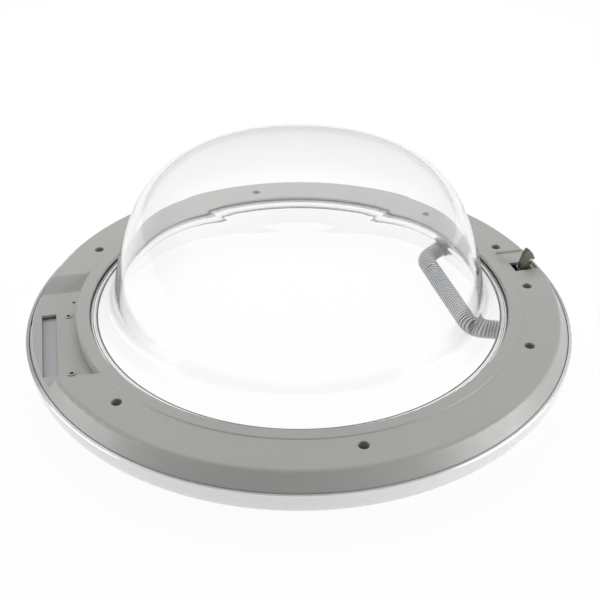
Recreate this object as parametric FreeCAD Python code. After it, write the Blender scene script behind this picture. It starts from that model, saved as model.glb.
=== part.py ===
import FreeCAD, Part
import math
import os

from FreeCAD import Vector

# A front-loading washing machine door, lying on its front with the clear bowl up.
# Millimetres. The origin is on the door's axis at the table, +Z up, +X towards the latch
# and -X towards the hinge.

# Front bezel, the outer ring that the door lies on
LIP_R = 245.5               # outer radius of the lip
LIP_Z = 25.0                # top of the lip above the table
LIP_EDGE_ROUND = 0.9
BEZEL_WALL = 2.8
FRONT_ROUND = 19.0          # round between the outer wall and the front face
FRONT_RISE_RUN = 30.0       # run over which the front face rises towards the window
FRONT_RISE_ROUND = 40.0
WINDOW_INSET = 1.0          # window wall inside the frame's inner edge
WINDOW_EDGE_Z = 8.0         # lower edge of the window wall
WINDOW_EDGE_ROUND = 2.4
SEAT_LIP_REACH = 3.5        # rounded lip under the glass, inside the window wall
SEAT_LIP_T = 4.0
SEAT_LIP_ROUND = 1.9
SEAT_RIM_WIDTH = 1.4        # rim that centres the glass flange
SEAT_RIM_RISE = 1.5
BOSS_R = 4.6                # screw bosses inside the bezel
BOSS_HOLE_DEPTH = 18.0

# Inner frame, the grey ring on top
FRAME_GAP = 0.6             # gap between the lip and the frame's skirt
FRAME_WALL = 2.6
FLAT_WIDTH = 44.5           # inner edge to the crease
BEVEL_RUN = 8.6
BEVEL_RISE = 13.5
BEVEL_FOOT_ROUND = 2.0
CREASE_ROUND = 4.5          # soft crease between the flat and the bevel
SKIRT_DROP = 5.0            # how far the skirt reaches down inside the lip
RIM_WIDTH = 10.5            # raised rim round the inner edge
RIM_RISE = 0.8
RIM_EDGE_ROUND = 1.2
RIM_STEP_ROUND = 0.6

# Screws that join the frame to the bezel, in wells
SCREW_INSET = 22.1          # screw circle inside the crease
SCREW_ANGLES = (10.0, 36.0, 90.0, 145.3)    # each side of the latch
WELL_R = 4.5
WELL_DEPTH = 10.0
WELL_WALL = 1.4
WELL_FLOOR = 2.2
SHANK_R = 1.95
SHANK_LENGTH = 18.0
HEAD_R = 3.7
HEAD_HEIGHT = 2.6
HEAD_ROUND = 1.6
SLOT_WIDTH = 1.1
SLOT_DEPTH = 1.4
SLOT_MARGIN = 1.4           # between the cross slot and the edge of the head
FIT = 0.05                  # clearance of a screw or pin in its hole

# Glass bowl
GLASS_T = 5.0
FLANGE_LAP = 7.0            # flange under the frame
FLANGE_FIT = 0.3            # between the flange and the rim of its seat
BOWL_INSET = 21.4           # foot of the bowl's wall inside the frame
WALL_DRAFT = 4.2            # degrees the wall leans in at its foot
WALL_ROUND = 240.0          # slight curve of the wall from foot to shoulder
ROOT_FILLET = 22.0          # wide round from the flange into the wall
BOWL_DEPTH = 126.1          # flange top to the shoulder's highest point
SHOULDER_R = 64.0
CAP_R = 450.0               # gently domed end of the bowl

# Handle that bridges the window on the latch side
HANDLE_STANDOFF = 41.2      # centre line of the grip inside the window wall
HANDLE_WIDTH = 16.0
HANDLE_HEIGHT = 13.7
HANDLE_DROP = 5.5           # top of the grip below the glass seat
HANDLE_STRAIGHT = 104.0
HANDLE_BEND_R = 19.0
HANDLE_SPLAY = 32.0         # degrees between the legs and the X axis
HANDLE_LOW_ROUND = 4.5
HANDLE_TOP_ROUND = 7.5
RIB_RISE = 1.1
RIB_WIDTH = 1.7
RIB_PITCH = 3.0
RIB_FOOT = 4.0              # ribs start this far above the front side of the grip
HANDLE_GAP = 0.1            # between the ends of the legs and the window wall
HANDLE_BOSS_R = 4.2
HANDLE_BOSS_REACH = 8.0
HANDLE_SCREW_GRIP = 14.0    # thread length in the leg
HEAD_ROOM = 0.3             # round a screw head that sits beside a wall

# Hinge recess opposite the latch
RECESS_DEPTH = 9.0
RECESS_HALF = 80.0          # half width at the frame's flat
RECESS_RAMP = 18.0          # run of the sloping end on the +Y side
RECESS_DRAFT = 1.0          # run of the steep end on the other side
RECESS_FOOT_ROUND = 5.0
RECESS_EDGE_ROUND = 7.0
RECESS_SETBACK = 0.4        # inner wall outside the raised rim
HINGE_INSET = 26.1          # line of the two hinge screws inside the crease
HINGE_Y = -21.0             # middle of that line
HINGE_PITCH = 85.5
HINGE_BOSS_R = 3.3
HINGE_BOSS_RISE = 0.8
HINGE_HOLE_R = 1.8
PILOT_INSET = 31.5          # small locating hole inside the crease
PILOT_Y = 44.0
PILOT_R = 1.6
POCKET_INSET = 8.9          # middle of the window in the recess floor, inside the crease
POCKET_WIDTH = 12.7
POCKET_Y = -18.0            # middle of that window
POCKET_LENGTH = 92.0
NOTCH_LENGTH = 9.0          # notch in the skirt beside the far end of the window
NOTCH_DEPTH = 1.4
PLATE_GAP = 1.5             # between the recess floor and the plate under it
PLATE_T = 2.0
PLATE_THREAD_R = 1.65
PLATE_INSET = 6.0           # ends of the plate inside the ends of the recess
PLATE_LAP = 5.0             # plate beyond the window's outer side
PLATE_EDGE_GAP = 1.6        # to the frame's skirt and to the seat rim
POST_R = 4.0                # posts of the bezel under the plate
POST_PITCH = 90.0

# Latch pad and opening
PAD_DROP = 1.8
PAD_WIDTH = 30.0            # inside the crease
PAD_HALF = 27.0
OPENING_INSET = 0.5         # outer end of the opening inside the crease
OPENING_LENGTH = 23.0
OPENING_HALF = 7.5
STEP_RUN = 2.7              # two steps at the outer end of the opening
STEP_DROPS = (3.2, 5.8)

# Hook, its pin, spring and holder
PIVOT_SETBACK = 9.5         # pin from the inner end of the opening
PIN_R = 1.6
PIN_COVER = 0.9             # holder material over the pin
HOOK_THICKNESS = 6.0
HOOK_BOSS_R = 4.2
HOOK_TAIL = 7.6             # how far the tail reaches below the pin
HOOK_TAIL_WIDTH = 4.2
HOOK_TAIL_ROUND = 1.2
HOOK_OUTLINE = (            # outwards, up from the pin, and the round of each corner
    (-2.9, 0), (-2.0, 9.0, 20), (0.9, 20.0, 5), (3.6, 23.8, 1.4), (8.0, 20.2, 4),
    (11.0, 14.2, 0.7), (10.8, 12.6, 0.6), (6.2, 14.2, 1.2), (4.6, 8.0, 12), (3.4, 0),
)
HOLDER_LAP = 4.0            # holder beyond the inner end and the sides of the opening
HOLDER_FIT = 0.4            # holder to the steps of the opening
HOLDER_WALL = 1.7
HOLDER_CHEEK = 2.5
HOLDER_DEPTH = 15.0
STOP_HEIGHT = 7.3           # rib that the tail rests against
STOP_GAP = 0.3
EAR_SETBACK = 3.5           # ears from the pin towards the window
EAR_REACH = 5.5             # ears outside the holder's sides
EAR_R = 4.2
EAR_T = 3.0
EAR_DROP = 5.0              # frame bosses that the ears are screwed to
EAR_BOSS_R = 3.2
EAR_SHANK_R = 1.45
EAR_HEAD_R = 2.9
EAR_SHANK_LENGTH = 7.5
WIRE_R = 0.4
COIL_R = 2.5
COIL_TURNS = 3.25
COIL_ROOM = 0.2             # between the coil and the side of the opening
SPRING_LEG = 4.0            # leg beside the hook

# Heights and radii that follow from the sizes above
SKIRT_R = LIP_R - BEZEL_WALL - FRAME_GAP
CREASE_R = SKIRT_R - BEVEL_RUN
RIM_R = CREASE_R - FLAT_WIDTH
WINDOW_R = RIM_R - WINDOW_INSET
FRONT_FLAT_R = WINDOW_R + FRONT_RISE_RUN
SCREW_CIRCLE_R = CREASE_R - SCREW_INSET
FLANGE_R = RIM_R + FLANGE_LAP
SEAT_RIM_R = FLANGE_R + FLANGE_FIT
ROOT_R = RIM_R - BOWL_INSET
HANDLE_X = WINDOW_R - HANDLE_STANDOFF
RECESS_IN_R = RIM_R + RIM_WIDTH + RIM_RISE + RECESS_SETBACK
HINGE_X = HINGE_INSET - CREASE_R
PILOT_X = PILOT_INSET - CREASE_R
POCKET_X = POCKET_INSET - CREASE_R
POCKET_HIGH_Y = POCKET_Y + POCKET_LENGTH / 2
PAD_IN_X = CREASE_R - PAD_WIDTH
OPENING_OUT_X = CREASE_R - OPENING_INSET
OPENING_IN_X = OPENING_OUT_X - OPENING_LENGTH
PIVOT_X = OPENING_IN_X + PIVOT_SETBACK
HOLDER_IN_X = OPENING_IN_X - HOLDER_LAP
HOLDER_OUT_X = OPENING_OUT_X - 2 * STEP_RUN - HOLDER_FIT
HOLDER_HALF = OPENING_HALF + HOLDER_LAP
EAR_X = PIVOT_X - EAR_SETBACK
EAR_Y = HOLDER_HALF + EAR_REACH
FLAT_Z = LIP_Z + BEVEL_RISE
RIM_Z = FLAT_Z + RIM_RISE
SKIRT_Z = LIP_Z - SKIRT_DROP
FLANGE_Z = FLAT_Z - FRAME_WALL
SEAT_Z = FLANGE_Z - GLASS_T
WELL_Z = FLAT_Z - WELL_DEPTH
BOSS_Z = WELL_Z - WELL_FLOOR
FLOOR_Z = FLAT_Z - RECESS_DEPTH
PLATE_Z = FLOOR_Z - FRAME_WALL - PLATE_GAP
PAD_Z = FLAT_Z - PAD_DROP
HOLDER_Z = PAD_Z - FRAME_WALL
PIVOT_Z = HOLDER_Z - PIN_COVER - PIN_R
HANDLE_TOP = SEAT_Z - HANDLE_DROP
HANDLE_LOW = HANDLE_TOP - HANDLE_HEIGHT
HANDLE_MID = HANDLE_LOW + HANDLE_HEIGHT / 2
BIG = 3 * LIP_R             # longer than anything it cuts
PAST = 1.0                  # how far a cut runs past the face it opens
UP = Vector(0, 0, 1)


def rounded_wire(corners, place):
    """Closed wire through corners (a, b) or (a, b, radius), put in space by place."""
    points = [Vector(c[0], c[1], 0) for c in corners]
    radii = [c[2] if len(c) > 2 else 0.0 for c in corners]
    turns = []
    for i, here in enumerate(points):
        if radii[i] == 0:
            turns.append((here, None, here))
            continue
        back = (points[i - 1] - here).normalize()
        ahead = (points[(i + 1) % len(points)] - here).normalize()
        half = back.getAngle(ahead) / 2
        reach = radii[i] / math.tan(half)
        middle = (back + ahead).normalize() * (radii[i] / math.sin(half) - radii[i])
        turns.append((here + back * reach, here + middle, here + ahead * reach))
    edges = []
    for i, (start, middle, end) in enumerate(turns):
        if middle is not None:
            edges.append(Part.Arc(place(start), place(middle), place(end)).toShape())
        following = turns[(i + 1) % len(turns)][0]
        if end.distanceToPoint(following) > 1e-6:
            edges.append(Part.LineSegment(place(end), place(following)).toShape())
    return Part.Wire(edges)


def in_xz(point):
    """Plan point (a, b) as (x, z), for sections."""
    return Vector(point.x, 0, point.y)


def turned(corners):
    """Solid of revolution about the door's axis from a section of (radius, height) corners."""
    return Part.Face(rounded_wire(corners, in_xz)).revolve(Vector(0, 0, 0), UP, 360)


def box(low, high):
    """Box between two corners."""
    return Part.makeBox(high[0] - low[0], high[1] - low[1], high[2] - low[2], Vector(*low))


def post(radius, x, y, low, high):
    """Upright cylinder from one height to another."""
    return Part.makeCylinder(radius, high - low, Vector(x, y, low))


def both_sides(shape):
    """A shape and its mirror image across the XZ plane."""
    return [shape, shape.mirror(Vector(0, 0, 0), Vector(0, 1, 0))]


def screw_places():
    """Plan positions of the frame screws, in pairs either side of the latch."""
    places = []
    for angle in SCREW_ANGLES:
        x = SCREW_CIRCLE_R * math.cos(math.radians(angle))
        y = SCREW_CIRCLE_R * math.sin(math.radians(angle))
        places += [(x, y), (x, -y)]
    return places


def hinge_places():
    """Plan positions of the two hinge screw holes."""
    return [(HINGE_X, HINGE_Y - HINGE_PITCH / 2), (HINGE_X, HINGE_Y + HINGE_PITCH / 2)]


def screw(shank_r, length, head_r, head_height):
    """Pan-head screw along -Z with the underside of its head at the origin, with a cross slot."""
    head = Part.Face(rounded_wire(
        [(0, 0), (head_r, 0), (head_r, head_height, HEAD_ROUND), (0, head_height)], in_xz))
    body = head.revolve(Vector(0, 0, 0), UP, 360)
    body = body.fuse(Part.makeCylinder(shank_r, length, Vector(0, 0, -length)))
    slot_floor = head_height - SLOT_DEPTH
    reach = head_r - SLOT_MARGIN
    for half_x, half_y in ((reach, SLOT_WIDTH / 2), (SLOT_WIDTH / 2, reach)):
        body = body.cut(box((-half_x, -half_y, slot_floor), (half_x, half_y, head_height + PAST)))
    return body.removeSplitter()


def placed(shape, position, direction=UP):
    """A copy of a shape made along +Z, moved to a position and turned to a direction."""
    copy = shape.copy()
    copy.Placement = FreeCAD.Placement(position, FreeCAD.Rotation(UP, direction))
    return copy


def handle_leg():
    """Start and direction of the handle's leg on the +Y side, along its centre line."""
    splay = math.radians(HANDLE_SPLAY)
    direction = Vector(math.cos(splay), math.sin(splay), 0)
    centre = Vector(HANDLE_X + HANDLE_BEND_R, HANDLE_STRAIGHT / 2, HANDLE_MID)
    start = centre + Vector(-math.sin(splay), math.cos(splay), 0) * HANDLE_BEND_R
    return start, direction


def along_leg(radius):
    """Distance along the leg's centre line from its start to a given radius of the door."""
    start, direction = handle_leg()
    toward = start.x * direction.x + start.y * direction.y
    return -toward + math.sqrt(toward ** 2 + radius ** 2 - start.x ** 2 - start.y ** 2)


def front_bezel():
    """White outer ring: lip, rounded outer wall, front face, window wall and seat for the glass."""
    inside = FRONT_ROUND - BEZEL_WALL
    shell = turned([
        (LIP_R, LIP_Z, LIP_EDGE_ROUND),
        (LIP_R, 0, FRONT_ROUND),
        (FRONT_FLAT_R, 0, FRONT_RISE_ROUND),
        (WINDOW_R, WINDOW_EDGE_Z, WINDOW_EDGE_ROUND),
        (WINDOW_R, SEAT_Z - SEAT_LIP_T),
        (WINDOW_R - SEAT_LIP_REACH, SEAT_Z - SEAT_LIP_T, SEAT_LIP_ROUND),
        (WINDOW_R - SEAT_LIP_REACH, SEAT_Z, SEAT_LIP_ROUND),
        (SEAT_RIM_R, SEAT_Z),
        (SEAT_RIM_R, SEAT_Z + SEAT_RIM_RISE),
        (SEAT_RIM_R + SEAT_RIM_WIDTH, SEAT_Z + SEAT_RIM_RISE),
        (SEAT_RIM_R + SEAT_RIM_WIDTH, SEAT_Z - BEZEL_WALL),
        (WINDOW_R + BEZEL_WALL, SEAT_Z - BEZEL_WALL),
        (WINDOW_R + BEZEL_WALL, WINDOW_EDGE_Z + BEZEL_WALL),
        (FRONT_FLAT_R, BEZEL_WALL),
        (LIP_R - BEZEL_WALL, BEZEL_WALL, inside),
        (LIP_R - BEZEL_WALL, LIP_Z),
    ])
    inner_floor = BEZEL_WALL / 2
    bosses = [post(BOSS_R, x, y, inner_floor, BOSS_Z) for x, y in screw_places()]
    bosses += [post(POST_R, POCKET_X, y, inner_floor, PLATE_Z - PLATE_T)
               for y in (POST_PITCH / 2, -POST_PITCH / 2)]
    start, direction = handle_leg()
    wall = along_leg(WINDOW_R)
    seat = wall + HANDLE_BOSS_REACH
    handle_boss = Part.makeCylinder(HANDLE_BOSS_R, HANDLE_BOSS_REACH - BEZEL_WALL / 2,
                                    start + direction * (wall + BEZEL_WALL / 2), direction)
    shell = shell.fuse(bosses + both_sides(handle_boss))
    holes = [post(SHANK_R + FIT, x, y, BOSS_Z - BOSS_HOLE_DEPTH, BOSS_Z + PAST)
             for x, y in screw_places()]
    holes += both_sides(Part.makeCylinder(SHANK_R + FIT, seat + PAST, start, direction))
    holes += both_sides(Part.makeCylinder(HEAD_R + HEAD_ROOM, HEAD_HEIGHT + PAST,
                                          start + direction * seat, direction))
    return shell.cut(holes).removeSplitter()


def recess_prism(floor, inner_r, foot_round):
    """Space of the hinge recess over a floor: one sloping end, one steep, round on its inner side."""
    slope = RECESS_RAMP / RECESS_DEPTH
    draft = RECESS_DRAFT / RECESS_DEPTH
    top = RIM_Z + PAST
    ramp_foot = RECESS_HALF - RECESS_RAMP
    ramp_head = ramp_foot + slope * (FLAT_Z - floor)
    past_head = ramp_head + RECESS_EDGE_ROUND
    steep_foot = RECESS_DRAFT - RECESS_HALF
    outline = [(steep_foot, floor), (ramp_foot, floor, foot_round),
               (ramp_head, FLAT_Z, RECESS_EDGE_ROUND), (past_head, FLAT_Z), (past_head, top),
               (steep_foot - draft * (top - floor), top)]
    end = Part.Face(rounded_wire(outline, lambda p: Vector(-BIG, p.x, p.y)))
    return end.extrude(Vector(BIG, 0, 0)).cut(Part.makeCylinder(inner_r, BIG, Vector(0, 0, -BIG / 2)))


def frame_hollow():
    """Space under the frame's skin, from the glass flange that it rests on to its skirt."""
    bevel = math.atan2(BEVEL_RISE, BEVEL_RUN)
    return turned([
        (RIM_R - PAST, SKIRT_Z - PAST),
        (RIM_R - PAST, FLANGE_Z),
        (CREASE_R - FRAME_WALL * math.tan(bevel / 2), FLANGE_Z, CREASE_ROUND - FRAME_WALL),
        (SKIRT_R - FRAME_WALL, LIP_Z - FRAME_WALL * math.tan(math.pi / 4 - bevel / 2)),
        (SKIRT_R - FRAME_WALL, SKIRT_Z - PAST),
    ])


def latch_opening():
    """Space of the latch opening, with two steps at its outer end."""
    first = OPENING_OUT_X - STEP_RUN
    second = first - STEP_RUN
    spans = [(OPENING_IN_X, second, SKIRT_Z - PAST), (second, first, PAD_Z - STEP_DROPS[1]),
             (first, OPENING_OUT_X, PAD_Z - STEP_DROPS[0])]
    boxes = [box((low_x, -OPENING_HALF, low_z), (high_x, OPENING_HALF, RIM_Z + PAST))
             for low_x, high_x, low_z in spans]
    return boxes[0].fuse(boxes[1:])


def inner_frame():
    """Grey ring: a bevelled shell with wells, the hinge recess and the sunk latch pad."""
    solid = turned([
        (RIM_R, SKIRT_Z),
        (RIM_R, RIM_Z, RIM_EDGE_ROUND),
        (RIM_R + RIM_WIDTH, RIM_Z, RIM_STEP_ROUND),
        (RIM_R + RIM_WIDTH + RIM_RISE, FLAT_Z),
        (CREASE_R, FLAT_Z, CREASE_ROUND),
        (SKIRT_R, LIP_Z, BEVEL_FOOT_ROUND),
        (SKIRT_R, SKIRT_Z),
    ])
    recess = recess_prism(FLOOR_Z, RECESS_IN_R, RECESS_FOOT_ROUND)
    pad = box((PAD_IN_X, -PAD_HALF, PAD_Z), (BIG, PAD_HALF, RIM_Z + PAST))

    # The skin follows each of these, so the hollow stays clear of it
    skin = [recess_prism(FLOOR_Z - FRAME_WALL, RECESS_IN_R - FRAME_WALL, RECESS_FOOT_ROUND)]
    skin.append(box((PAD_IN_X - FRAME_WALL, -PAD_HALF - FRAME_WALL, HOLDER_Z),
                    (BIG, PAD_HALF + FRAME_WALL, RIM_Z)))
    skin.append(box((OPENING_OUT_X - 2 * STEP_RUN, -OPENING_HALF - FRAME_WALL, PIVOT_Z - HOOK_BOSS_R),
                    (BIG, OPENING_HALF + FRAME_WALL, RIM_Z)))
    skin += [post(WELL_R + WELL_WALL, x, y, BOSS_Z, RIM_Z) for x, y in screw_places()]
    skin += [post(EAR_BOSS_R, EAR_X, y, HOLDER_Z - EAR_DROP, RIM_Z) for y in (EAR_Y, -EAR_Y)]
    hollow = frame_hollow().cut(skin)
    frame = solid.cut([hollow, recess, pad, latch_opening()])

    hinge_bosses = [post(HINGE_BOSS_R, x, y, PLATE_Z, FLOOR_Z + HINGE_BOSS_RISE)
                    for x, y in hinge_places()]
    frame = frame.fuse(hinge_bosses)
    holes = [post(HINGE_HOLE_R, x, y, SKIRT_Z, RIM_Z) for x, y in hinge_places()]
    holes.append(post(PILOT_R, PILOT_X, PILOT_Y, SKIRT_Z, RIM_Z))
    holes.append(box((POCKET_X - POCKET_WIDTH / 2, POCKET_HIGH_Y - POCKET_LENGTH, SKIRT_Z),
                     (POCKET_X + POCKET_WIDTH / 2, POCKET_HIGH_Y, RIM_Z)))
    notch = box((-BIG, POCKET_HIGH_Y - NOTCH_LENGTH, SKIRT_Z - PAST), (0, POCKET_HIGH_Y, RIM_Z))
    holes.append(notch.cut(Part.makeCylinder(SKIRT_R - NOTCH_DEPTH, RIM_Z)))
    for x, y in screw_places():
        holes += [post(WELL_R, x, y, WELL_Z, RIM_Z), post(SHANK_R + FIT, x, y, SKIRT_Z, WELL_Z + PAST)]
    holes += [post(EAR_SHANK_R + FIT, EAR_X, y, SKIRT_Z, HOLDER_Z + FRAME_WALL / 2)
              for y in (EAR_Y, -EAR_Y)]
    return frame.cut(holes).removeSplitter()


def bowl_centres():
    """Centres of the arcs of the bowl's section: root fillet, wall, shoulder and cap."""
    draft = math.radians(WALL_DRAFT)
    wall = Vector(ROOT_R - WALL_ROUND * math.cos(draft), FLANGE_Z - WALL_ROUND * math.sin(draft), 0)
    root_height = FLANGE_Z + ROOT_FILLET
    root_run = math.sqrt((WALL_ROUND + ROOT_FILLET) ** 2 - (root_height - wall.y) ** 2)
    shoulder_height = FLANGE_Z + BOWL_DEPTH - SHOULDER_R
    shoulder_run = math.sqrt((WALL_ROUND - SHOULDER_R) ** 2 - (shoulder_height - wall.y) ** 2)
    root = Vector(wall.x + root_run, root_height, 0)
    shoulder = Vector(wall.x + shoulder_run, shoulder_height, 0)
    cap = Vector(0, shoulder_height - math.sqrt((CAP_R - SHOULDER_R) ** 2 - shoulder.x ** 2), 0)
    return root, wall, shoulder, cap


def bowl_curve(inset):
    """Ends and middles of one skin's arcs, from its flange to its apex, set in by inset."""
    root, wall, shoulder, cap = bowl_centres()
    down = Vector(0, -1, 0)
    to_root = (root - wall).normalize()
    to_shoulder = (shoulder - wall).normalize()
    to_rim = (shoulder - cap).normalize()
    fillet = ROOT_FILLET + inset
    side = WALL_ROUND - inset
    bend = SHOULDER_R - inset
    dome = CAP_R - inset
    return [
        root + down * fillet,
        root + (down - to_root).normalize() * fillet,
        wall + to_root * side,
        wall + (to_root + to_shoulder).normalize() * side,
        wall + to_shoulder * side,
        shoulder + (to_shoulder + to_rim).normalize() * bend,
        cap + to_rim * dome,
        cap + (to_rim - down).normalize() * dome,
        cap - down * dome,
    ]


def skin_edges(curve):
    """Edges of one skin: the arcs of its root fillet, wall, shoulder and cap."""
    points = [in_xz(point) for point in curve]
    return [Part.Arc(*points[i:i + 3]).toShape() for i in range(0, len(points) - 2, 2)]


def glass_bowl():
    """Clear bowl of even wall, open at the front, with a flat flange round its mouth."""
    outer = bowl_curve(0)
    inner = bowl_curve(GLASS_T)
    rim = [inner[0], Vector(FLANGE_R, SEAT_Z, 0), Vector(FLANGE_R, FLANGE_Z, 0), outer[0]]
    edges = skin_edges(outer) + skin_edges(inner)
    edges.append(Part.LineSegment(in_xz(outer[-1]), in_xz(inner[-1])).toShape())
    edges += [Part.LineSegment(in_xz(a), in_xz(b)).toShape() for a, b in zip(rim, rim[1:])]
    section = Part.Wire(Part.sortEdges(edges)[0])
    return Part.Face(section).revolve(Vector(0, 0, 0), UP, 360)


def grip_section(rise, low):
    """Section of the grip, rounded on the glass side, grown by rise and cut off at a low height."""
    half = HANDLE_WIDTH / 2 + rise
    top = HANDLE_TOP + rise
    round_low = HANDLE_LOW_ROUND if low == HANDLE_LOW else 0.0
    corners = [(-half, low, round_low), (half, low, round_low),
               (half, top, HANDLE_TOP_ROUND + rise), (-half, top, HANDLE_TOP_ROUND + rise)]
    return Part.Face(rounded_wire(corners, lambda p: Vector(HANDLE_X + p.x, 0, p.y)))


def grip_run(section, start, length):
    """A stretch of the grip's path, on the straight, the bend or the leg of the +Y side."""
    half = HANDLE_STRAIGHT / 2
    sweep = math.radians(90 - HANDLE_SPLAY)
    bend_length = HANDLE_BEND_R * sweep
    piece = section.copy()
    if start < half:
        piece.translate(Vector(0, start, 0))
        return piece.extrude(Vector(0, length, 0))
    piece.translate(Vector(0, half, 0))
    centre = Vector(HANDLE_X + HANDLE_BEND_R, half, 0)
    if start < half + bend_length:
        piece.rotate(centre, UP, -math.degrees((start - half) / HANDLE_BEND_R))
        return piece.revolve(centre, -UP, math.degrees(length / HANDLE_BEND_R))
    piece.rotate(centre, UP, -math.degrees(sweep))
    direction = handle_leg()[1]
    piece.translate(direction * (start - half - bend_length))
    return piece.extrude(direction * length)


def rib_stations(leg_length):
    """Starts of the ribs along the path, none across the change from one stretch to the next."""
    half = HANDLE_STRAIGHT / 2
    bend_length = HANDLE_BEND_R * math.radians(90 - HANDLE_SPLAY)
    stations = []
    for first, span in ((0.0, half), (half, bend_length), (half + bend_length, leg_length)):
        count = max(1, int(round(span / RIB_PITCH)))
        pitch = span / count
        stations += [first + pitch * (i + 0.5) - RIB_WIDTH / 2 for i in range(count)]
    return stations


def door_handle():
    """Ribbed grip: a straight bar with two bent legs that butt against the window wall."""
    bar = grip_section(0, HANDLE_LOW)
    rib = grip_section(RIB_RISE, HANDLE_LOW + RIB_FOOT)
    half = HANDLE_STRAIGHT / 2
    bend_length = HANDLE_BEND_R * math.radians(90 - HANDLE_SPLAY)
    leg_length = along_leg(WINDOW_R)
    pieces = [grip_run(bar, 0, half), grip_run(bar, half, bend_length),
              grip_run(bar, half + bend_length, leg_length + HANDLE_WIDTH)]
    pieces += [grip_run(rib, start, RIB_WIDTH) for start in rib_stations(leg_length)]
    side = pieces[0].fuse(pieces[1:]).removeSplitter()
    grip = side.fuse(both_sides(side)[1]).removeSplitter()
    window = Part.makeCylinder(WINDOW_R - HANDLE_GAP, BIG, Vector(0, 0, -BIG / 2))
    start, direction = handle_leg()
    hole_start = along_leg(WINDOW_R) - HANDLE_SCREW_GRIP - PAST
    hole = Part.makeCylinder(SHANK_R + FIT, BIG, start + direction * hole_start, direction)
    return grip.common(window).cut(both_sides(hole)).removeSplitter()


def handle_screws():
    """Screws through the window wall into the legs of the handle, heads inside the bezel."""
    start, direction = handle_leg()
    seat = along_leg(WINDOW_R) + HANDLE_BOSS_REACH
    length = HANDLE_BOSS_REACH + HANDLE_SCREW_GRIP
    side = placed(screw(SHANK_R, length, HEAD_R, HEAD_HEIGHT), start + direction * seat, direction)
    return Part.Compound(both_sides(side))


def frame_screws():
    """Screws at the bottom of the wells."""
    one = screw(SHANK_R, SHANK_LENGTH, HEAD_R, HEAD_HEIGHT)
    return Part.Compound([placed(one, Vector(x, y, WELL_Z)) for x, y in screw_places()])


def hinge_plate():
    """Steel plate under the hinge recess, with the threads for the hinge's screws."""
    inner_r = SEAT_RIM_R + SEAT_RIM_WIDTH + PLATE_EDGE_GAP
    outer_r = SKIRT_R - FRAME_WALL - PLATE_EDGE_GAP
    half = RECESS_HALF - PLATE_INSET
    outer_x = POCKET_X - POCKET_WIDTH / 2 - PLATE_LAP
    plate = box((outer_x, -half, PLATE_Z - PLATE_T), (0, half, PLATE_Z))
    plate = plate.common(Part.makeCylinder(outer_r, FLAT_Z)).cut(Part.makeCylinder(inner_r, FLAT_Z))
    holes = [post(PLATE_THREAD_R, x, y, 0, FLAT_Z) for x, y in hinge_places()]
    holes.append(post(PILOT_R, PILOT_X, PILOT_Y, 0, FLAT_Z))
    return plate.cut(holes)


def latch_hook():
    """Cast hook: eye, leaning shaft, arrow head with a barb outwards, and a tail for the spring."""
    def at_pin(point):
        return Vector(PIVOT_X + point.x, -HOOK_THICKNESS / 2, PIVOT_Z + point.y)

    depth = Vector(0, HOOK_THICKNESS, 0)
    shaft = Part.Face(rounded_wire(HOOK_OUTLINE, at_pin)).extrude(depth)
    half = HOOK_TAIL_WIDTH / 2
    tail = [(-half, 0), (-half, -HOOK_TAIL, HOOK_TAIL_ROUND), (half, -HOOK_TAIL, HOOK_TAIL_ROUND),
            (half, 0)]
    tail = Part.Face(rounded_wire(tail, at_pin)).extrude(depth)
    centre = at_pin(Vector(0, 0, 0))
    eye = Part.makeCylinder(HOOK_BOSS_R, HOOK_THICKNESS, centre, Vector(0, 1, 0))
    hole = Part.makeCylinder(PIN_R + FIT, HOOK_THICKNESS, centre, Vector(0, 1, 0))
    return shaft.fuse([tail, eye]).removeSplitter().cut(hole)


def hook_pin():
    """Steel pin across the holder."""
    foot = Vector(PIVOT_X, -HOLDER_HALF, PIVOT_Z)
    return Part.makeCylinder(PIN_R, 2 * HOLDER_HALF, foot, Vector(0, 1, 0))


def hook_spring():
    """Torsion spring on the pin beside the hook: a coil, a leg up the hook and one to the wall."""
    first = HOOK_THICKNESS / 2 + 2 * WIRE_R
    length = OPENING_HALF - COIL_ROOM - WIRE_R - first
    coil = Part.Wire(Part.makeHelix(length / COIL_TURNS, length, COIL_R).Edges)
    ring = Part.Wire(Part.makeCircle(WIRE_R, Vector(COIL_R, 0, 0), Vector(0, 1, 0)))
    body = coil.makePipeShell([ring], True, True)
    hook_leg = Part.makeCylinder(WIRE_R, SPRING_LEG, Vector(COIL_R, 0, 0), Vector(0, -1, 0))
    turn = 2 * math.pi * COIL_TURNS
    coil_end = Vector(COIL_R * math.cos(turn), COIL_R * math.sin(turn), length)
    onward = Vector(-math.sin(turn), math.cos(turn), 0)
    reach = PIVOT_X - HOLDER_IN_X - HOLDER_WALL - FIT
    wall_leg = Part.makeCylinder(WIRE_R, reach, coil_end, onward)
    body = body.fuse([hook_leg, wall_leg]).removeSplitter()
    across = FreeCAD.Rotation(Vector(1, 0, 0), -90)
    body.Placement = FreeCAD.Placement(Vector(PIVOT_X, first, PIVOT_Z), across)
    return body


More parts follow.
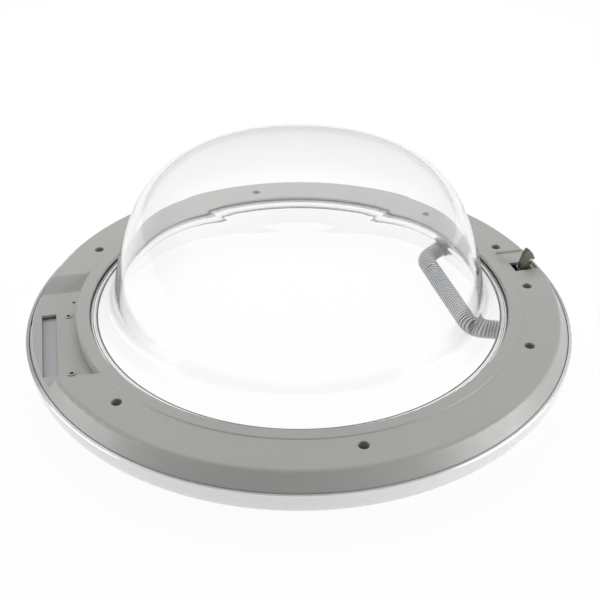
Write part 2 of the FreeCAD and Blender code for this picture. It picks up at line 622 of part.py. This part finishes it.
def hook_holder():
    """Black holder: an open box with cheeks for the pin and an ear each side for its screw."""
    floor = HOLDER_Z - HOLDER_DEPTH
    body = box((HOLDER_IN_X, -HOLDER_HALF, floor), (HOLDER_OUT_X, HOLDER_HALF, HOLDER_Z))
    room_half = HOLDER_HALF - HOLDER_CHEEK
    room = box((HOLDER_IN_X + HOLDER_WALL, -room_half, floor + HOLDER_WALL),
               (HOLDER_OUT_X - HOLDER_WALL, room_half, HOLDER_Z + PAST))
    stop_x = PIVOT_X - HOOK_TAIL_WIDTH / 2 - STOP_GAP
    stop = box((stop_x - HOLDER_WALL, -room_half - PAST, floor),
               (stop_x, room_half + PAST, floor + STOP_HEIGHT))
    ear_top = HOLDER_Z - EAR_DROP
    ear = post(EAR_R, EAR_X, EAR_Y, ear_top - EAR_T, ear_top)
    web = box((EAR_X - EAR_R, HOLDER_HALF - HOLDER_CHEEK / 2, ear_top - EAR_T),
              (EAR_X + EAR_R, EAR_Y, ear_top))
    body = body.fuse(both_sides(ear) + both_sides(web)).removeSplitter()
    ear_hole = post(EAR_SHANK_R + FIT, EAR_X, EAR_Y, floor, HOLDER_Z)
    pin_hole = Part.makeCylinder(PIN_R + FIT, BIG, Vector(PIVOT_X, -BIG / 2, PIVOT_Z), Vector(0, 1, 0))
    body = body.cut([room, pin_hole] + both_sides(ear_hole))
    return body.fuse(stop).removeSplitter()


def holder_screws():
    """Screws from below through the holder's ears into the frame."""
    one = screw(EAR_SHANK_R, EAR_SHANK_LENGTH, EAR_HEAD_R, HEAD_HEIGHT)
    seat = HOLDER_Z - EAR_DROP - EAR_T
    return Part.Compound([placed(one, Vector(EAR_X, y, seat), -UP) for y in (EAR_Y, -EAR_Y)])


NODES = (front_bezel, inner_frame, glass_bowl, door_handle, handle_screws, frame_screws,
         hinge_plate, latch_hook, hook_pin, hook_spring, hook_holder, holder_screws)

os.makedirs("parts", exist_ok=True)
for make in NODES:
    shape = make()
    shape.exportStep("parts/" + make.__name__ + ".step")
    print(make.__name__, "solids", len(shape.Solids), "valid", shape.isValid(),
          "cm3", round(shape.Volume / 1000, 2))
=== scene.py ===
import math

import bpy
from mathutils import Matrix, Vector


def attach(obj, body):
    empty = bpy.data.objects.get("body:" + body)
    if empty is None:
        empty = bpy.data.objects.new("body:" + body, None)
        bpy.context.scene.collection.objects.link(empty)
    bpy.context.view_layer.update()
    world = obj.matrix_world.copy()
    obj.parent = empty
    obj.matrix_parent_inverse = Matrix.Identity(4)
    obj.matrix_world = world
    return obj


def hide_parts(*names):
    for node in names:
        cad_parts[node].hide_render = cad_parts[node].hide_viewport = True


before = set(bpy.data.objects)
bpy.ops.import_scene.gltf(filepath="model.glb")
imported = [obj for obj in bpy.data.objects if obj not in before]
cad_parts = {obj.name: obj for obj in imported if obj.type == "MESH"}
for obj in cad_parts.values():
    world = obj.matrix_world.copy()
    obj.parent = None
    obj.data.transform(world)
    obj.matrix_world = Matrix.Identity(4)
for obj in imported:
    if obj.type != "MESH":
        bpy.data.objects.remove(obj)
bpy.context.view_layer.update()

# A washing machine door lying on its front, in metres: the grey inner ring and the clear bowl
# look up, the latch hook is towards +X and the hinge recess towards -X.

# Camera, from the photo's perspective
CAMERA_AT = (-0.1645, -0.7111, 0.5125)
VIEW_TURN = math.radians(13.1)      # towards +X from +Y
VIEW_DROP = math.radians(33.45)     # below the horizon
FOCAL_PX = 950.0
FRAME_PX = 600.0
SENSOR_MM = 36.0

# Softboxes: name, place, width, power in watts, and whether gloss mirrors them
LAMPS = (
    ("back_lamp", (0.12, 0.8, 0.8), 1.0, 11.3, False),
    ("right_lamp", (1.12, -0.68, 0.36), 0.8, 12.6, True),
    ("left_lamp", (-1.4, 0.1, 0.42), 0.8, 10.8, True),
)

# Surround and floor
AMBIENT = 0.28                      # even light from all round
SKY_EDGE = 0.28                     # what glass and gloss mirror low on the far side
SKY_HIGH = 1.0                      # and elsewhere
SKY_FADE = (0.40, 0.68)             # heights, as sines of the elevation, where that changes
SKY_SIDE = (-0.1, 0.35)             # from the near half of the surround to the far half
FLOOR_COLOUR = 0.9
FLOOR_LIFT = 0.93                   # share of plain white in the floor as it is seen
FLOOR_HALF = 6.0
FLOOR_SINK = 0.0003

# Colours of the plastics and metals
GREY = (0.348, 0.355, 0.338)
BLACK = (0.012, 0.012, 0.013)
RIDGE = (0.47, 0.48, 0.50)
# Painted shade for the grooves of the handle
GROOVE_SHADE_COLOUR = (0.16, 0.165, 0.175)
ZINC = (0.5, 0.5, 0.49)
PLATED = (0.535, 0.53, 0.55)
CAST = (0.225, 0.23, 0.18)
BRIGHT = (0.75, 0.75, 0.76)

# Fine texture, with scales in features per metre
NOISE_RANGE = (0.3, 0.7)            # where most values of the noise lie
MOTTLE_SCALE = 14.0
MOTTLE_DETAIL = 4.0
SHEEN_SCALE = 55.0
SHEEN_SPREAD = 0.05                 # how far the roughness of plastic varies each way
GRAIN_DETAIL = 2.0
GRAIN_DEPTH = 0.0001
STREAK_DETAIL = 5.0
STREAK_COARSENESS = 0.6
STREAK_SHEEN = (0.08, -0.06)        # roughness added where metal is dark and where it is bright
STREAK_GRAIN = 3.0                  # times as fine as the streaks
STREAK_BUMP = 0.15

# Painted shade in the grooves between the ribs of the handle, found by ambient occlusion
GROOVE_REACH = 0.002
GROOVE_SHADE = (0.45, 0.95)         # openness of a groove and of a ridge
GROOVE_SAMPLES = 8

# Zones of the bezel's finish, by distance from the axis, height and place along Y, where light and shade
# are painted
OUTER_WHITE = (0.755, 0.757, 0.753)
# Painted light: the bezel's white is paler round the window, as if lit by the bright floor inside
WINDOW_LIT_WHITE = (0.97, 0.97, 0.97)
WINDOW_ZONE = (0.200, 0.215)
WINDOW_PEARL = 0.85
OUTER_PEARL = 0.55
BEZEL_SHEEN = (0.1, 0.18)
# Painted shade: the lip is greyer, fading in towards the far side along Y
LIP_SHADE_GREY = (0.36, 0.385, 0.395)
LIP_RADII = (0.241, 0.247)
LIP_HEIGHTS = (0.0235, 0.0256)
LIP_SHADE_FADE = (-0.10, -0.05)
# Painted shade: dark lines on the seat under the glass, a wide one in the joint at the ring's inner edge
# and a thin one just inside it
SEAT_SHADE_GREY = (0.13, 0.13, 0.135)
SEAT_SHADE_HEIGHTS = (0.0303, 0.0315)
SEAT_SHADE_LINES = ((0.1858, 0.1866), (0.1884, 0.1960))
ZONE_EDGE = 0.0001

# Thin bead along the seat lip, under the glass: a pale mirror outside, and a dark line of painted shade
# towards the window
BEAD_R = 0.1827
BEAD_Z = 0.0301
BEAD_HALF = (0.0017, 0.0007)        # half its width and half its height
BEAD_SIDES = 16
# Painted shade for the bead's inner half
BEAD_SHADE = (0.05, 0.047, 0.043)
BEAD_PALE = (0.97, 0.97, 0.96)
BEAD_ROUGHNESS = 0.2

# Glass bowl, as the solid: an even wall turned about the door's axis
GLASS_T = 0.005
GLASS_IOR = 1.5
GLASS_PASS = (0.99, 0.99, 0.99, 1)  # share of lamp light that goes straight through
SEAT_Z = 0.0309
FLANGE_R = 0.196
FLANGE_ROUND = 0.0006
ROOT_R = 0.1676
ROOT_FILLET = 0.022
WALL_DRAFT = math.radians(4.2)
WALL_ROUND = 0.240
BOWL_DEPTH = 0.1261
SHOULDER_R = 0.064
CAP_R = 0.450

# Facets of the turned pieces
TURN_FACETS = 240
ARC_STEP = math.radians(3.0)
WALL_STEP = math.radians(1.0)
CAP_STEP = math.radians(0.8)
SHARP_ANGLE = math.radians(35)
ON_AXIS = 1e-9

# Colour sockets of a Mix node, whose factor is socket 0
MIX_FIRST = 6
MIX_SECOND = 7
MIX_RESULT = 2


# Node helpers

def new_material(name):
    """A material with its node tree and its Principled shader."""
    made = bpy.data.materials.new(name)
    made.use_nodes = True
    tree = made.node_tree
    return made, tree, tree.nodes["Principled BSDF"]


def add_node(tree, kind, inputs=None, **settings):
    """A node with its settings and its unlinked input values."""
    node = tree.nodes.new(kind)
    for key, value in settings.items():
        setattr(node, key, value)
    for key, value in (inputs or {}).items():
        node.inputs[key].default_value = value
    return node


def noise(tree, scale, detail=3.0, roughness=0.5):
    """Noise in the part's own space, with scale in features per metre."""
    place = add_node(tree, "ShaderNodeTexCoord")
    texture = add_node(tree, "ShaderNodeTexNoise",
                       {"Scale": scale, "Detail": detail, "Roughness": roughness})
    tree.links.new(place.outputs["Object"], texture.inputs["Vector"])
    return texture.outputs["Fac"]


def spread(tree, value, low, high):
    """A noise value mapped from its usual range to low and high."""
    node = add_node(tree, "ShaderNodeMapRange",
                    {"From Min": NOISE_RANGE[0], "From Max": NOISE_RANGE[1],
                     "To Min": low, "To Max": high})
    tree.links.new(value, node.inputs["Value"])
    return node.outputs["Result"]


def ramp(tree, value, limits, low, high):
    """A value eased from low to high between two limits."""
    node = add_node(tree, "ShaderNodeMapRange",
                    {"From Min": limits[0], "From Max": limits[1], "To Min": low, "To Max": high},
                    interpolation_type="SMOOTHSTEP")
    tree.links.new(value, node.inputs["Value"])
    return node.outputs["Result"]


def combined(tree, operation, first, second):
    """Two values put together by a math operation."""
    node = add_node(tree, "ShaderNodeMath", operation=operation)
    tree.links.new(first, node.inputs[0])
    tree.links.new(second, node.inputs[1])
    return node.outputs[0]


def product(tree, first, second):
    """Two values multiplied."""
    return combined(tree, "MULTIPLY", first, second)


def larger(tree, first, second):
    """The larger of two values."""
    return combined(tree, "MAXIMUM", first, second)


def within(tree, value, low, high):
    """1 where a value lies between two limits, and 0 elsewhere."""
    above = ramp(tree, value, (low - ZONE_EDGE, low + ZONE_EDGE), 0.0, 1.0)
    below = ramp(tree, value, (high - ZONE_EDGE, high + ZONE_EDGE), 1.0, 0.0)
    return product(tree, above, below)


def blend_colours(tree, factor, first, second):
    """A colour between a first one, plain or from nodes, and a plain second one."""
    node = add_node(tree, "ShaderNodeMix", data_type="RGBA")
    tree.links.new(factor, node.inputs[0])
    if isinstance(first, tuple):
        node.inputs[MIX_FIRST].default_value = (*first, 1)
    else:
        tree.links.new(first, node.inputs[MIX_FIRST])
    node.inputs[MIX_SECOND].default_value = (*second, 1)
    return node.outputs[MIX_RESULT]


def blend_shaders(tree, factor, first, second, output):
    """A surface between two shaders, by a factor from nodes."""
    node = add_node(tree, "ShaderNodeMixShader")
    tree.links.new(factor, node.inputs[0])
    tree.links.new(first.outputs[0], node.inputs[1])
    tree.links.new(second.outputs[0], node.inputs[2])
    tree.links.new(node.outputs[0], tree.nodes[output].inputs["Surface"])


def grain_bump(tree, shader, height, strength):
    """Fine bump from a height value."""
    node = add_node(tree, "ShaderNodeBump", {"Strength": strength, "Distance": GRAIN_DEPTH})
    tree.links.new(height, node.inputs["Height"])
    tree.links.new(node.outputs["Normal"], shader.inputs["Normal"])


def uneven_sheen(tree, shader, low, high):
    """Roughness that wanders between two values."""
    tree.links.new(spread(tree, noise(tree, SHEEN_SCALE), low, high), shader.inputs["Roughness"])


def part_places(tree):
    """Distance from the door's axis, place along Y and height over the table."""
    place = add_node(tree, "ShaderNodeTexCoord")
    axes = add_node(tree, "ShaderNodeSeparateXYZ")
    plan = add_node(tree, "ShaderNodeVectorMath", {1: (1, 1, 0)}, operation="MULTIPLY")
    length = add_node(tree, "ShaderNodeVectorMath", operation="LENGTH")
    tree.links.new(place.outputs["Object"], axes.inputs[0])
    tree.links.new(place.outputs["Object"], plan.inputs[0])
    tree.links.new(plan.outputs["Vector"], length.inputs[0])
    return length.outputs["Value"], axes.outputs["Y"], axes.outputs["Z"]


def seen_directly(tree):
    """1 for rays from the camera, from gloss and through glass, and 0 for the rest."""
    path = add_node(tree, "ShaderNodeLightPath")
    mirrored = larger(tree, path.outputs["Is Glossy Ray"], path.outputs["Is Transmission Ray"])
    return larger(tree, path.outputs["Is Camera Ray"], mirrored)


# Materials

def moulded(name, colour, variation, roughness, grain_scale, grain_strength):
    """Moulded plastic: slight mottling of the colour, uneven sheen and a fine grain."""
    made, tree, shader = new_material(name)
    mottle = noise(tree, MOTTLE_SCALE, MOTTLE_DETAIL)
    pale = tuple(c * (1 + variation) for c in colour)
    deep = tuple(c * (1 - variation) for c in colour)
    tree.links.new(blend_colours(tree, mottle, deep, pale), shader.inputs["Base Color"])
    uneven_sheen(tree, shader, roughness - SHEEN_SPREAD, roughness + SHEEN_SPREAD)
    grain_bump(tree, shader, noise(tree, grain_scale, GRAIN_DETAIL), grain_strength)
    return made


def ribbed(name, ridge, groove, roughness):
    """Moulded plastic with painted shade in its narrow grooves, so that they are darker than its ridges.
    """
    made, tree, shader = new_material(name)
    # Painted shade: the grooves take the darker colour where ambient occlusion finds them closed in
    shade = add_node(tree, "ShaderNodeAmbientOcclusion", {"Distance": GROOVE_REACH},
                     samples=GROOVE_SAMPLES)
    openness = ramp(tree, shade.outputs["AO"], GROOVE_SHADE, 0.0, 1.0)
    tree.links.new(blend_colours(tree, openness, groove, ridge), shader.inputs["Base Color"])
    uneven_sheen(tree, shader, roughness - SHEEN_SPREAD, roughness + SHEEN_SPREAD)
    return made


def bezel_finish(name):
    """Pearl white, with painted light that makes it palest round the window, painted shade that greys the
    far side of the lip, and dark lines of painted shade on the seat under the glass.
    """
    made, tree, shader = new_material(name)
    radius, along, height = part_places(tree)
    # Painted light: paler round the window
    window_light = ramp(tree, radius, WINDOW_ZONE, 1.0, 0.0)
    colour = blend_colours(tree, window_light, OUTER_WHITE, WINDOW_LIT_WHITE)
    # Painted shade: the lip greyed on its far side, where it is not pearl
    lip = product(tree, within(tree, radius, *LIP_RADII), within(tree, height, *LIP_HEIGHTS))
    lip = product(tree, lip, ramp(tree, along, LIP_SHADE_FADE, 0.0, 1.0))
    pearl = ramp(tree, radius, WINDOW_ZONE, WINDOW_PEARL, OUTER_PEARL)
    off_lip = ramp(tree, lip, (0.0, 1.0), 1.0, 0.0)
    tree.links.new(product(tree, pearl, off_lip), shader.inputs["Metallic"])
    colour = blend_colours(tree, lip, colour, LIP_SHADE_GREY)
    # Painted shade: dark lines on the seat under the glass
    on_seat = within(tree, height, *SEAT_SHADE_HEIGHTS)
    for low, high in SEAT_SHADE_LINES:
        line = product(tree, within(tree, radius, low, high), on_seat)
        colour = blend_colours(tree, line, colour, SEAT_SHADE_GREY)
    tree.links.new(colour, shader.inputs["Base Color"])
    uneven_sheen(tree, shader, *BEZEL_SHEEN)
    return made


def metal(name, colour, roughness, wear, streak_scale):
    """Plain metal with uneven tone and roughness."""
    made, tree, shader = new_material(name)
    shader.inputs["Metallic"].default_value = 1.0
    tone = noise(tree, streak_scale, STREAK_DETAIL, STREAK_COARSENESS)
    dark = tuple(c * (1 - wear) for c in colour)
    tree.links.new(blend_colours(tree, tone, dark, colour), shader.inputs["Base Color"])
    sheen = spread(tree, tone, roughness + STREAK_SHEEN[0], roughness + STREAK_SHEEN[1])
    tree.links.new(sheen, shader.inputs["Roughness"])
    grain_bump(tree, shader, noise(tree, streak_scale * STREAK_GRAIN), STREAK_BUMP)
    return made


def clear_glass(name):
    """Clear glass that lets lamp light and bounced light straight through to what is behind it."""
    made, tree, shader = new_material(name)
    shader.inputs["Base Color"].default_value = (1, 1, 1, 1)
    shader.inputs["Roughness"].default_value = 0.0
    shader.inputs["IOR"].default_value = GLASS_IOR
    shader.inputs["Transmission Weight"].default_value = 1.0
    path = add_node(tree, "ShaderNodeLightPath")
    soft = larger(tree, path.outputs["Is Shadow Ray"], path.outputs["Is Diffuse Ray"])
    through = add_node(tree, "ShaderNodeBsdfTransparent", {"Color": GLASS_PASS})
    blend_shaders(tree, soft, shader, through, "Material Output")
    return made


def bead_material(name):
    """A pale mirror against the seat lip, and dark towards the window, where the dark is painted shade.
    """
    made, tree, shader = new_material(name)
    radius = part_places(tree)[0]
    outward = ramp(tree, radius, (BEAD_R, BEAD_R + BEAD_HALF[0] / 4), 0.0, 1.0)
    tree.links.new(blend_colours(tree, outward, BEAD_SHADE, BEAD_PALE), shader.inputs["Base Color"])
    tree.links.new(outward, shader.inputs["Metallic"])
    shader.inputs["Roughness"].default_value = BEAD_ROUGHNESS
    return made


def floor_material(name):
    """White floor that keeps the shadows and is seen near plain white elsewhere."""
    made, tree, shader = new_material(name)
    tree.nodes.remove(shader)
    matt = add_node(tree, "ShaderNodeBsdfDiffuse", {"Color": (FLOOR_COLOUR,) * 3 + (1,)})
    plain = add_node(tree, "ShaderNodeEmission", {"Strength": 1.0})
    share = add_node(tree, "ShaderNodeMath", {1: FLOOR_LIFT}, operation="MULTIPLY")
    tree.links.new(seen_directly(tree), share.inputs[0])
    blend_shaders(tree, share.outputs[0], matt, plain, "Material Output")
    return made


def dress_part():
    """Gives each solid its finish."""
    zinc = metal("zinc_steel", ZINC, roughness=0.38, wear=0.15, streak_scale=400.0)
    bright = metal("bright_pin", BRIGHT, roughness=0.2, wear=0.08, streak_scale=300.0)
    finishes = {
        "front_bezel": bezel_finish("white_moulding"),
        "inner_frame": moulded("grey_moulding", GREY, variation=0.02, roughness=0.36,
                               grain_scale=2600.0, grain_strength=0.12),
        "door_handle": ribbed("grip_moulding", RIDGE, GROOVE_SHADE_COLOUR, roughness=0.42),
        "hook_holder": moulded("black_moulding", BLACK, variation=0.1, roughness=0.4,
                               grain_scale=1800.0, grain_strength=0.1),
        "hinge_plate": metal("plated_sheet", PLATED, roughness=0.6, wear=0.05, streak_scale=120.0),
        "latch_hook": metal("cast_metal", CAST, roughness=0.45, wear=0.35, streak_scale=350.0),
        "hook_pin": bright,
        "hook_spring": bright,
        "frame_screws": zinc,
        "handle_screws": zinc,
        "holder_screws": zinc,
    }
    for node, finish in finishes.items():
        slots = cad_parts[node].data.materials
        slots.clear()
        slots.append(finish)


# Turned pieces

def arc(centre, radius, start, end, step=ARC_STEP):
    """Points of an arc in the section plane, without its last point."""
    steps = max(2, math.ceil(abs(end - start) / step))
    angles = [start + (end - start) * i / steps for i in range(steps)]
    return [(centre[0] + radius * math.cos(a), centre[1] + radius * math.sin(a)) for a in angles]


def bearing(centre, point):
    """Angle of the line from a centre to a point of the section plane."""
    return math.atan2(point[1] - centre[1], point[0] - centre[0])


def turned(name, section):
    """Mesh object made by turning a section that starts and ends on the axis or closes on itself."""
    vertices = []
    rings = []
    for radius, height in section:
        first = len(vertices)
        if radius < ON_AXIS:
            vertices.append((0, 0, height))
            rings.append([first] * TURN_FACETS)
            continue
        for k in range(TURN_FACETS):
            angle = 2 * math.pi * k / TURN_FACETS
            vertices.append((radius * math.cos(angle), radius * math.sin(angle), height))
        rings.append(list(range(first, first + TURN_FACETS)))
    faces = []
    for low, high in zip(rings, rings[1:]):
        for k in range(TURN_FACETS):
            after = (k + 1) % TURN_FACETS
            corners = (low[k], low[after], high[after], high[k])
            faces.append(tuple(dict.fromkeys(corners)))
    mesh = bpy.data.meshes.new(name)
    mesh.from_pydata(vertices, [], faces)
    mesh.shade_smooth()
    mesh.set_sharp_from_angle(angle=SHARP_ANGLE)
    made = bpy.data.objects.new(name, mesh)
    bpy.context.collection.objects.link(made)
    return made


def bowl_centres():
    """Centres of the arcs of the bowl's section: root fillet, wall, shoulder and cap."""
    flange_z = SEAT_Z + GLASS_T
    wall = (ROOT_R - WALL_ROUND * math.cos(WALL_DRAFT), flange_z - WALL_ROUND * math.sin(WALL_DRAFT))
    root_z = flange_z + ROOT_FILLET
    root_run = math.sqrt((WALL_ROUND + ROOT_FILLET) ** 2 - (root_z - wall[1]) ** 2)
    shoulder_z = flange_z + BOWL_DEPTH - SHOULDER_R
    shoulder_run = math.sqrt((WALL_ROUND - SHOULDER_R) ** 2 - (shoulder_z - wall[1]) ** 2)
    shoulder_r = wall[0] + shoulder_run
    cap_z = shoulder_z - math.sqrt((CAP_R - SHOULDER_R) ** 2 - shoulder_r ** 2)
    return (wall[0] + root_run, root_z), wall, (shoulder_r, shoulder_z), (0.0, cap_z)


def bowl_skin(inset):
    """Section of one skin of the bowl, from the flange to the apex, as (radius, height) points."""
    root, wall, shoulder, cap = bowl_centres()
    foot = bearing(wall, root)
    head = bearing(wall, shoulder)
    rim = bearing(cap, shoulder)
    points = arc(root, ROOT_FILLET + inset, -math.pi / 2, foot - math.pi)
    points += arc(wall, WALL_ROUND - inset, foot, head, WALL_STEP)
    points += arc(shoulder, SHOULDER_R - inset, head, rim)
    points += arc(cap, CAP_R - inset, rim, math.pi / 2, CAP_STEP)
    points.append((0.0, cap[1] + CAP_R - inset))
    return points


def glass_bowl():
    """The bowl at full smoothness, on the same section as its solid."""
    flange_z = SEAT_Z + GLASS_T
    edge_r = FLANGE_R - FLANGE_ROUND
    outer = bowl_skin(0)
    inner = bowl_skin(GLASS_T)
    edge = arc((edge_r, SEAT_Z + FLANGE_ROUND), FLANGE_ROUND, -math.pi / 2, 0)
    edge += arc((edge_r, flange_z - FLANGE_ROUND), FLANGE_ROUND, 0, math.pi / 2)
    bowl = turned("clear_bowl", inner[::-1] + edge + [(edge_r, flange_z)] + outer)
    bowl.data.materials.append(clear_glass("bowl_glass"))
    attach(bowl, "door")
    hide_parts("glass_bowl")
    return bowl


def shade_line_bead():
    """Thin bead between the seat lip and the glass: a pale mirrored line and a dark line of painted
    shade.
    """
    section = []
    for k in range(BEAD_SIDES + 1):
        angle = 2 * math.pi * k / BEAD_SIDES
        section.append((BEAD_R + BEAD_HALF[0] * math.cos(angle), BEAD_Z + BEAD_HALF[1] * math.sin(angle)))
    bead = turned("shade_line_bead", section)
    bead.data.materials.append(bead_material("bead_mirror_and_shade"))
    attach(bead, "door")


# Floor, light and camera

def lay_floor():
    """Plain pale floor under the part."""
    corners = [(x * FLOOR_HALF, y * FLOOR_HALF, -FLOOR_SINK)
               for x, y in ((-1, -1), (1, -1), (1, 1), (-1, 1))]
    mesh = bpy.data.meshes.new("floor")
    mesh.from_pydata(corners, [], [(0, 1, 2, 3)])
    floor = bpy.data.objects.new("floor", mesh)
    bpy.context.collection.objects.link(floor)
    floor.data.materials.append(floor_material("floor_white"))


def softbox(name, position, size, power, sheen, receivers):
    """Square area lamp that points at the part and lights all but what receivers leave out."""
    data = bpy.data.lights.new(name, "AREA")
    data.shape = "SQUARE"
    data.size = size
    data.energy = power
    lamp = bpy.data.objects.new(name, data)
    lamp.location = position
    lamp.rotation_euler = (-Vector(position)).to_track_quat("-Z", "Y").to_euler()
    lamp.light_linking.receiver_collection = receivers
    lamp.visible_glossy = sheen
    bpy.context.collection.objects.link(lamp)


def all_but(piece):
    """Receivers of light that leave out one piece."""
    receivers = bpy.data.collections.new("lit_pieces")
    receivers.objects.link(piece)
    receivers.collection_objects[0].light_linking.link_state = "EXCLUDE"
    return receivers


def surround():
    """Even light, seen as plain white but mirrored greyer low down on the far side."""
    world = bpy.data.worlds.new("studio")
    world.use_nodes = True
    bpy.context.scene.world = world
    tree = world.node_tree
    even = tree.nodes["Background"]
    even.inputs["Color"].default_value = (1, 1, 1, 1)
    even.inputs["Strength"].default_value = AMBIENT
    place = add_node(tree, "ShaderNodeTexCoord")
    axes = add_node(tree, "ShaderNodeSeparateXYZ")
    tree.links.new(place.outputs["Generated"], axes.inputs[0])
    upward = ramp(tree, axes.outputs["Z"], SKY_FADE, SKY_EDGE, SKY_HIGH)
    nearer = ramp(tree, axes.outputs["Y"], SKY_SIDE, SKY_HIGH, SKY_EDGE)
    path = add_node(tree, "ShaderNodeLightPath")
    direct = larger(tree, path.outputs["Is Camera Ray"], path.outputs["Is Transmission Ray"])
    level = larger(tree, larger(tree, upward, nearer), direct)
    seen = add_node(tree, "ShaderNodeBackground", {"Color": (1, 1, 1, 1)})
    tree.links.new(level, seen.inputs["Strength"])
    blend_shaders(tree, seen_directly(tree), even, seen, "World Output")


def light_scene(bowl):
    """Soft lamps behind and at both sides, which the glass doesn't mirror, and the surround."""
    receivers = all_but(bowl)
    for name, position, size, power, sheen in LAMPS:
        softbox(name, position, size, power, sheen, receivers)
    surround()


def set_camera():
    """Camera at the photo's place and angle."""
    data = bpy.data.cameras.new("photo_camera")
    data.sensor_width = SENSOR_MM
    data.lens = FOCAL_PX / FRAME_PX * SENSOR_MM
    camera = bpy.data.objects.new("photo_camera", data)
    camera.location = CAMERA_AT
    camera.rotation_euler = (math.pi / 2 - VIEW_DROP, 0, -VIEW_TURN)
    bpy.context.collection.objects.link(camera)
    bpy.context.scene.camera = camera


dress_part()
clear_bowl = glass_bowl()
shade_line_bead()
lay_floor()
light_scene(clear_bowl)
set_camera()
bpy.context.scene.view_settings.view_transform = "Standard"
